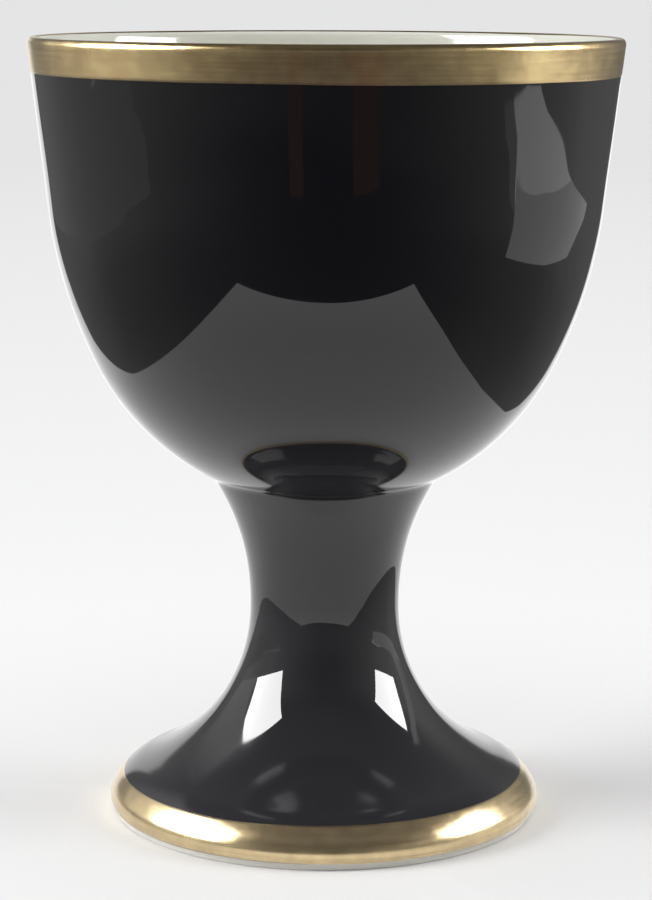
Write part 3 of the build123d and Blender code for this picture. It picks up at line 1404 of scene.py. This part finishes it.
@dataclass(frozen=True)
class Studio:
    """A pale floor under soft light, with the paper, the lamps and the dim room that the gloss shows.

    Lengths are in metres. A room's stops are (upright share of the direction, colour).
    """

    paper: PaperSweep = PaperSweep()
    floor_reach: float = 60.0
    floor_near: str = "#FAFAFA"
    floor_far: str = "#DDDDDE"
    floor_pool_centre: Corner = (-0.06, -0.08, 0.0)
    floor_even: float = 0.09
    floor_pool_fades_by: float = 1.7
    floor_pool_fade_power: float = 0.4
    floor_drop: float = 0.00003
    table: str = "#3A3733"
    table_bared: Pair = (0.11, 0.17)
    paper_shaded: float = 0.9
    paper_shadow: Pair = (0.036, 0.046)
    paper_near: float = 1.17
    paper_far: float = 1.38
    paper_opening: Pair = (0.12, 0.2)
    cards: tuple[Card, ...] = (
        LampFace(
            "left_lamp_face",
            beside(-0.5, (0.08, 0.135), (-0.28, 0.18), (-0.33, 0.58), (0.12, 0.52), (0.12, 0.32)),
        ),
        LampFace(
            "right_lamp_face",
            beside(0.5, (-0.145, 0.14), (0.115, 0.125), (0.145, 0.39), (-0.19, 0.34)),
        ),
        Card(
            "upper_card",
            beside(
                0.5,
                (-0.15, 0.017), (-0.095, 0.028), (-0.035, 0.034), (0.015, 0.028), (0.22, 0.016),
                (0.3, 0.008), (0.055, 0.0), (-0.095, -0.013), (-0.115, 0.003),
            ),
            glow=1.95,
            faded=1.5,
            run=(-0.12, 0.27),
            fade=Fade.ALONG_Y,
        ),
        Card(
            "card_edge",
            beside(
                0.5,
                (-0.19, 0.01), (-0.15, 0.017), (-0.115, 0.003),
                (-0.095, -0.013), (-0.12, -0.012), (-0.165, -0.004),
            ),
            glow=0.6,
        ),
        Card(
            "lower_card",
            beside(
                0.305,
                (-0.076, -0.002), (-0.08, 0.017), (-0.083, 0.024), (0.024, 0.0295), (0.162, 0.034),
                (0.324, 0.026), (0.226, 0.014), (0.169, 0.0045), (0.057, 0.0),
                lean=3.3,
            ),
            glow=1.22,
            faded=1.02,
            run=(-0.07, 0.2),
            fade=Fade.ALONG_Y,
        ),
        Card(
            "right_spill",
            beside(
                2.5,
                (0.8, 0.0), (1.2, 0.17), (1.36, 0.38), (1.1, 1.2), (1.0, 1.8), (1.1, 2.4),
                (1.33, 2.3), (1.28, 1.7), (1.5, 1.1), (2.1, 0.25), (1.95, 0.0),
            ),
            glow=1.15,
            faded=0.6,
            run=(1.2, 1.9),
            fade=Fade.ALONG_Y,
        ),
        Card(
            "left_spill",
            beside(
                -2.5,
                (0.5, 0.57), (0.74, 0.96), (0.67, 1.9), (0.73, 2.55), (1.4, 3.0),
                (4.4, 4.6), (3.4, 1.6), (2.55, 0.6), (1.95, 0.38),
            ),
            glow=1.2,
            faded=0.35,
            run=(0.6, 3.4),
            fade=Fade.ALONG_Y,
        ),
        Card(
            "left_arc",
            beside(-0.5, (0.065, 0.038), (-0.205, 0.05), (-0.21, 0.065), (0.055, 0.052)),
            glow=0.9,
        ),
        Card(
            "left_wall",
            beside(
                -0.5,
                (-0.115, 0.06), (-0.115, 0.023), (-0.165, 0.0), (-0.165, -0.018),
                (-0.04, -0.01), (0.15, -0.028), (1.6, -0.04), (1.6, 0.06),
            ),
            glow=0.49,
            faded=0.18,
            fade=Fade.ALONG_Y,
        ),
        Card(
            "near_strip",
            facing(-3.0, (-0.77, -0.52), (-0.765, -0.86), (-0.47, -0.85), (-0.45, -0.52)),
            colour="#7C615C",
        ),
        Card(
            "far_strip",
            facing(-3.0, (0.52, -0.52), (0.56, -0.86), (1.16, -0.88), (1.1, -0.52)),
            colour="#7C615C",
        ),
        Card("back_card", facing(2.0, (-0.5, 0.25), (0.5, 0.25), (0.5, 1.3), (-0.5, 1.3)), glow=0.55),
    )
    lights: tuple[SoftLight, ...] = (
        SoftLight("high_light", azimuth=180.0, elevation=80.0, spread=100.0, strength=2.25),
        SoftLight("left_light", azimuth=-79.0, elevation=32.0, spread=30.0, strength=1.45),
        SoftLight("right_light", azimuth=89.0, elevation=32.0, spread=30.0, strength=0.78),
    )
    backdrop: str = "#E5E5E6"
    room_front: tuple[Stop, ...] = (
        (-0.29, "#3F3B4B"), (-0.27, "#58585F"), (-0.19, "#7A7A7C"), (0.0, "#7A7A7C"),
        (0.15, "#5C5C5E"), (0.35, "#303032"), (0.6, "#303032"), (0.8, "#65656A"),
    )
    room_side: tuple[Stop, ...] = (
        (-0.5, "#838383"), (-0.35, "#909090"), (-0.2, "#B3B3B3"), (0.1, "#D2D2D2"),
        (0.4, "#D5D5D5"), (0.62, "#7C7C7C"), (0.88, "#5C5C5C"),
    )
    room_back: str = "#6C6C6C"
    front_to_side: Pair = (-1.0, -0.1)
    side_to_back: Pair = (0.5, 0.9)

    def stand(
        self, name: str, points: np.ndarray, faces: list[list[int]], material: Material, seen: Seen
    ) -> Piece:
        """Stand a piece of the studio.

        Args:
            name: Name of the piece.
            points: Its points in metres, with a last axis of (x, y, z).
            faces: Its faces, as numbers of points.
            material: Its finish.
            seen: Which rays it answers to.

        Returns:
            The new object.
        """
        mesh = bpy.data.meshes.new(name)
        mesh.from_pydata(points.reshape(-1, 3).tolist(), [], faces)
        mesh.materials.append(material)
        piece = bpy.data.objects.new(name, mesh)
        bpy.context.scene.collection.objects.link(piece)
        in_gloss = seen is Seen.IN_GLOSS
        piece.visible_camera = not in_gloss
        piece.visible_diffuse = not in_gloss
        piece.visible_glossy = in_gloss
        piece.visible_shadow = not in_gloss
        return piece

    def floor_finish(self) -> Material:
        """Build the floor's matt finish: a painted pool of light that greys with distance, and light thrown
        back only from the paper.

        Returns:
            The material.
        """
        material, add, shader = new_material("matt studio floor")
        place = add("TexCoord").outputs["Object"]
        # Painted light: the tint is lightest within an even reach of a centre near the goblet and greys
        # further out, a painted pool of the lamps' light and its fall-off.
        lit_from = add("VectorMath", {0: place, 1: self.floor_pool_centre}, operation="DISTANCE")
        far = add("MapRange", {"Value": lit_from, "From Min": self.floor_even, "From Max": self.floor_pool_fades_by})
        share = add("Math", {0: far, 1: self.floor_pool_fade_power}, operation="POWER")
        near_tint, far_tint = linear(self.floor_near), linear(self.floor_far)
        tint = add("Mix", {"Factor": share, "A": near_tint, "B": far_tint}, data_type="RGBA")
        reach = add("VectorMath", {0: place}, operation="LENGTH")
        start, full = self.table_bared
        beyond = add(
            "MapRange",
            {"Value": reach, "From Min": start, "From Max": full},
            interpolation_type="SMOOTHSTEP",
        )
        matt_ray = add("LightPath").outputs["Is Diffuse Ray"]
        unlit = add("Math", {0: beyond, 1: matt_ray}, operation="MULTIPLY")
        thrown = add("Mix", {"Factor": unlit, "A": tint, "B": linear(self.table)}, data_type="RGBA")
        wire(shader, {"Base Color": thrown, "Roughness": 1.0, "Specular IOR Level": 0.0})
        return material

    def paper_finish(self) -> Material:
        """Build the lit paper's face, glowing with painted light, with a painted shadow where the goblet
        shades it round its foot.

        Returns:
            The material.
        """
        material, add, shader = glow_finish("lit white paper", self.paper_far)
        # Painted light and shadow: the glow is dimmer close round the foot and brightest beyond the opening
        # run.
        reach = add("VectorMath", {0: add("TexCoord").outputs["Object"]}, operation="LENGTH")
        shade, open_light = (
            add(
                "MapRange",
                {"Value": reach, "From Min": near, "From Max": far, "To Min": low, "To Max": high},
                interpolation_type="SMOOTHSTEP",
            )
            for (near, far), low, high in (
                (self.paper_shadow, self.paper_shaded / self.paper_near, 1.0),
                (self.paper_opening, self.paper_near, self.paper_far),
            )
        )
        level = add("Math", {0: shade, 1: open_light}, operation="MULTIPLY")
        wire(shader, {"Emission Strength": level})
        return material

    def room(self) -> None:
        """Build the world: pale to the camera, and to gloss a room that is dark in front, dim elsewhere."""
        world = bpy.data.worlds.new("dim room")
        world.use_nodes = True
        world.cycles_visibility.diffuse = False
        bpy.context.scene.world = world
        tree = world.node_tree
        add = partial(add_node, tree)
        axes = add("SeparateXYZ", {"Vector": add("TexCoord").outputs["Generated"]})
        height = add("MapRange", {"Value": axes.outputs["Z"], "From Min": -1.0, "From Max": 1.0})
        walls = []
        for stops in (self.room_front, self.room_side):
            wall = add("ValToRGB", {0: height})
            marks = wall.color_ramp.elements
            for place, _ in stops[1:-1]:
                marks.new((1 + place) / 2)
            for mark, (place, colour) in zip(marks, stops):
                mark.position = (1 + place) / 2
                mark.color = linear(colour)
            walls.append(wall)
        dim, side = walls
        for (low, high), wall in ((self.front_to_side, side), (self.side_to_back, linear(self.room_back))):
            share = add("MapRange", {"Value": axes.outputs["Y"], "From Min": low, "From Max": high})
            dim = add("Mix", {"Factor": share, "A": dim, "B": wall}, data_type="RGBA")
        camera_ray = add("LightPath").outputs["Is Camera Ray"]
        seen = add("Mix", {"Factor": camera_ray, "A": dim, "B": linear(self.backdrop)}, data_type="RGBA")
        wire(tree.nodes["Background"], {"Color": seen})

    def build(self) -> None:
        """Lay the floor, stand what the gloss shows, and hang the lights."""
        square = np.array([[-1, -1, 0], [1, -1, 0], [1, 1, 0], [-1, 1, 0]]) * self.floor_reach
        ground = square - [0.0, 0.0, self.floor_drop]
        self.stand("studio_floor", ground, [[0, 1, 2, 3]], self.floor_finish(), Seen.BY_EYE)
        self.stand("paper_sweep", self.paper.points(), self.paper.faces(), self.paper_finish(), Seen.IN_GLOSS)
        for card in self.cards:
            face = [list(range(len(card.corners)))]
            self.stand(card.name, np.array(card.corners), face, card.finish(), Seen.IN_GLOSS)
        for light in self.lights:
            light.build()
        self.room()


@dataclass(frozen=True)
class PhotoCamera:
    """The photograph's camera, worked out from the goblet's outline in a frame of 652 by 900 pixels."""

    distance: float = 0.4509
    height: float = 0.14365
    pitch: float = 10.159
    yaw: float = -0.0207
    roll: float = 0.187
    focal_pixels: float = 2668.7
    frame_height_pixels: float = 900.0
    sensor: float = 36.0

    def build(self) -> None:
        """Stand the camera: it looks along +Y, dips by the pitch, and turns a little by yaw and roll."""
        data = bpy.data.cameras.new("photo_camera")
        data.sensor_width = self.sensor
        data.lens = self.focal_pixels * self.sensor / self.frame_height_pixels
        camera = bpy.data.objects.new("photo_camera", data)
        aim = (
            Matrix.Rotation(math.radians(self.yaw), 4, "Z")
            @ Matrix.Rotation(math.radians(LEVEL - self.pitch), 4, "X")
            @ Matrix.Rotation(math.radians(self.roll), 4, "Z")
        )
        camera.matrix_world = Matrix.Translation((0.0, -self.distance, self.height)) @ aim
        bpy.context.scene.collection.objects.link(camera)
        bpy.context.scene.camera = camera


def main() -> None:
    """Build the goblet piece by piece, then the studio and the camera."""
    logging.basicConfig(level=logging.INFO, format="%(name)s: %(message)s")
    bpy.context.scene.view_settings.view_transform = "Standard"
    skeleton = Skeleton()
    porcelain = BarePorcelain().material()
    white_glaze = WhiteGlaze().material()
    coat = BlackCoat(skeleton)
    pieces = Bowl(skeleton).build(porcelain, white_glaze)
    pieces += StemAndFoot(skeleton).build(porcelain, white_glaze)
    pieces += coat.build(BlackGlaze().material())
    pieces += Gilding(coat).build()
    for piece in pieces:
        faces, replaced = len(piece.data.polygons), list(piece["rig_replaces"])
        LOG.info("%s: %d faces in place of %s", piece.name, faces, replaced)
    Studio().build()
    PhotoCamera().build()


if __name__ == "__main__":
    main()
